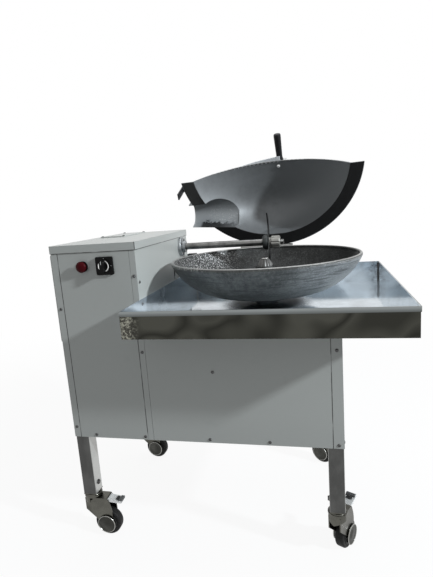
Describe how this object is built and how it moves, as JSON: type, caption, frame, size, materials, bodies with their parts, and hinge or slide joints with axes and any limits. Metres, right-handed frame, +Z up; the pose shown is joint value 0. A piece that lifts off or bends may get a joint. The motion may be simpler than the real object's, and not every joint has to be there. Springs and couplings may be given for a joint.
{
  "type": "vegetable cutting machine",
  "caption": "Bowl cutter for vegetables: turning bowl in a steel tray, belt driven knives, lifting half lid, switch column and braked casters.",
  "frame": {"origin": "on the floor under the middle of the machine's overall box, with the lid open", "axes": "+X to the right of a person at the control panel, +Y away from them to the back, +Z up"},
  "size_m": [0.9104, 0.751, 1.1772],
  "materials": {
    "pale_paint": "smooth pale grey powder coat",
    "stainless": "brushed stainless steel",
    "frame_steel": "grey primer",
    "tray_steel": "polished stainless sheet",
    "bowl_metal": "spun aluminium, worn bright at the rim",
    "hub_metal": "turned aluminium",
    "lid_metal": "pressed stainless sheet",
    "seal_rubber": "matt black rubber",
    "belt_rubber": "matt black rubber",
    "black_plastic": "satin black plastic",
    "holder_metal": "bright plated ring",
    "red_plastic": "glossy red plastic",
    "zinc": "yellowish zinc plate",
    "pedal_steel": "bright zinc plate with a dark tip",
    "wheel_core": "grey plastic",
    "tyre": "black rubber",
    "screws": "dark plated steel",
    "bright_steel": "ground steel",
    "blade_steel": "ground blade steel",
    "nut_metal": "pale satin metal",
    "pulley_metal": "turned casting",
    "cast_housing": "painted casting",
    "motor_paint": "grey blue enamel"
  },
  "bodies": {
    "frame": {"leg_posts": "stainless", "cabinet_rails": "frame_steel", "column_rails": "frame_steel", "left_panel": "pale_paint", "side_cover": "pale_paint", "column_front_panel": "pale_paint", "column_right_panel": "pale_paint", "rear_panels": "pale_paint", "top_cover": "pale_paint", "top_hatch": "pale_paint", "cabinet_front_panel": "pale_paint", "cabinet_right_panel": "pale_paint", "bottom_panel": "pale_paint", "panel_screws": "screws", "tray": "tray_steel", "gearbox_housing": "cast_housing", "motor_body": "motor_paint", "motor_plate": "frame_steel", "pillow_bearings": "cast_housing", "wall_bearing": "bright_steel", "drive_belts": "belt_rubber", "hinge_beam": "stainless", "beam_sleeve": "black_plastic", "hinge_bracket": "stainless", "lid_switch": "black_plastic", "stop_button_holder": "holder_metal", "switch_body": "black_plastic", "caster_mounts": "zinc"},
    "motor_rotor": {"motor_rotor": "bright_steel"},
    "knives": {"knife_shaft": "bright_steel", "knife_pulley": "pulley_metal", "upper_blade": "blade_steel", "lower_blade": "blade_steel", "knife_nut": "nut_metal"},
    "worm": {"worm_shaft": "bright_steel"},
    "bowl": {"bowl": "bowl_metal", "bowl_spindle": "bright_steel", "hub_nut": "hub_metal"},
    "lid": {"lid_shell": "lid_metal", "lid_seal": "seal_rubber", "lid_handle": "black_plastic", "handle_bar": "stainless", "interlock_tab": "black_plastic", "lid_hinge_leaf": "stainless"},
    "stop_button": {"stop_button": "red_plastic"},
    "switch_knob": {"switch_knob": "black_plastic"},
    "front_left_swivel": {"front_left_fork": "zinc"},
    "front_left_wheel": {"front_left_hub": "wheel_core", "front_left_tyre": "tyre"},
    "front_left_pedal": {"front_left_pedal": "pedal_steel"},
    "front_right_swivel": {"front_right_fork": "zinc"},
    "front_right_wheel": {"front_right_hub": "wheel_core", "front_right_tyre": "tyre"},
    "front_right_pedal": {"front_right_pedal": "pedal_steel"},
    "rear_left_swivel": {"rear_left_fork": "zinc"},
    "rear_left_wheel": {"rear_left_hub": "wheel_core", "rear_left_tyre": "tyre"},
    "rear_right_swivel": {"rear_right_fork": "zinc"},
    "rear_right_wheel": {"rear_right_hub": "wheel_core", "rear_right_tyre": "tyre"}
  },
  "joints": [
    {"name": "motor_spin", "type": "hinge", "parent": "frame", "child": "motor_rotor", "pos_m": [-0.19925, 0.00501, 0.4505], "axis": [1, 0, 0], "continuous": true},
    {"name": "knife_spin", "type": "hinge", "parent": "frame", "child": "knives", "pos_m": [0.09575, 0.15101, 0.819], "axis": [1, 0, 0], "continuous": true},
    {"name": "worm_spin", "type": "hinge", "parent": "frame", "child": "worm", "pos_m": [-0.22375, -0.05699, 0.5705], "axis": [1, 0, 0], "continuous": true},
    {"name": "bowl_turn", "type": "hinge", "parent": "frame", "child": "bowl", "pos_m": [0.09875, -0.00699, 0.685], "axis": [0, 0, 1], "continuous": true},
    {"name": "lid_hinge", "type": "hinge", "parent": "frame", "child": "lid", "pos_m": [0.06875, 0.29701, 0.79], "axis": [-1, 0, 0], "range_deg": [-67, 0]},
    {"name": "stop_push", "type": "slide", "parent": "frame", "child": "stop_button", "axis": [0, 1, 0], "range_m": [0, 0.004], "stiffness_N_per_m": 700},
    {"name": "switch_turn", "type": "hinge", "parent": "frame", "child": "switch_knob", "pos_m": [-0.29325, -0.24499, 0.814], "axis": [0, 1, 0], "range_deg": [0, 90]},
    {"name": "front_left_swivel", "type": "hinge", "parent": "frame", "child": "front_left_swivel", "pos_m": [-0.42775, -0.22349, 0.137], "axis": [0, 0, 1], "continuous": true},
    {"name": "front_left_roll", "type": "hinge", "parent": "front_left_swivel", "child": "front_left_wheel", "pos_m": [-0.38575, -0.22349, 0.04], "axis": [0, 1, 0], "continuous": true},
    {"name": "front_left_brake", "type": "hinge", "parent": "front_left_swivel", "child": "front_left_pedal", "pos_m": [-0.37675, -0.22349, 0.1137], "axis": [0, -1, 0], "range_deg": [0, 20]},
    {"name": "front_right_swivel", "type": "hinge", "parent": "frame", "child": "front_right_swivel", "pos_m": [0.28225, -0.22349, 0.137], "axis": [0, 0, 1], "continuous": true},
    {"name": "front_right_roll", "type": "hinge", "parent": "front_right_swivel", "child": "front_right_wheel", "pos_m": [0.30132, -0.18607, 0.04], "axis": [-0.891, 0.454, 0], "continuous": true},
    {"name": "front_right_brake", "type": "hinge", "parent": "front_right_swivel", "child": "front_right_pedal", "pos_m": [0.3054, -0.17805, 0.1137], "axis": [0.891, -0.454, 0], "range_deg": [-20, 0]},
    {"name": "rear_left_swivel", "type": "hinge", "parent": "frame", "child": "rear_left_swivel", "pos_m": [-0.42775, 0.20651, 0.137], "axis": [0, 0, 1], "continuous": true},
    {"name": "rear_left_roll", "type": "hinge", "parent": "rear_left_swivel", "child": "rear_left_wheel", "pos_m": [-0.38598, 0.20212, 0.04], "axis": [0.1045, 0.9945, 0], "continuous": true},
    {"name": "rear_right_swivel", "type": "hinge", "parent": "frame", "child": "rear_right_swivel", "pos_m": [0.28225, 0.20651, 0.137], "axis": [0, 0, 1], "continuous": true},
    {"name": "rear_right_roll", "type": "hinge", "parent": "rear_right_swivel", "child": "rear_right_wheel", "pos_m": [0.24588, 0.22751, 0.04], "axis": [-0.5, -0.866, 0], "continuous": true}
  ],
  "couplings": [
    {"joint": "knife_spin", "follows": "motor_spin", "ratio": 1.0667},
    {"joint": "worm_spin", "follows": "motor_spin", "ratio": 0.4},
    {"joint": "bowl_turn", "follows": "motor_spin", "ratio": 0.01}
  ]
}
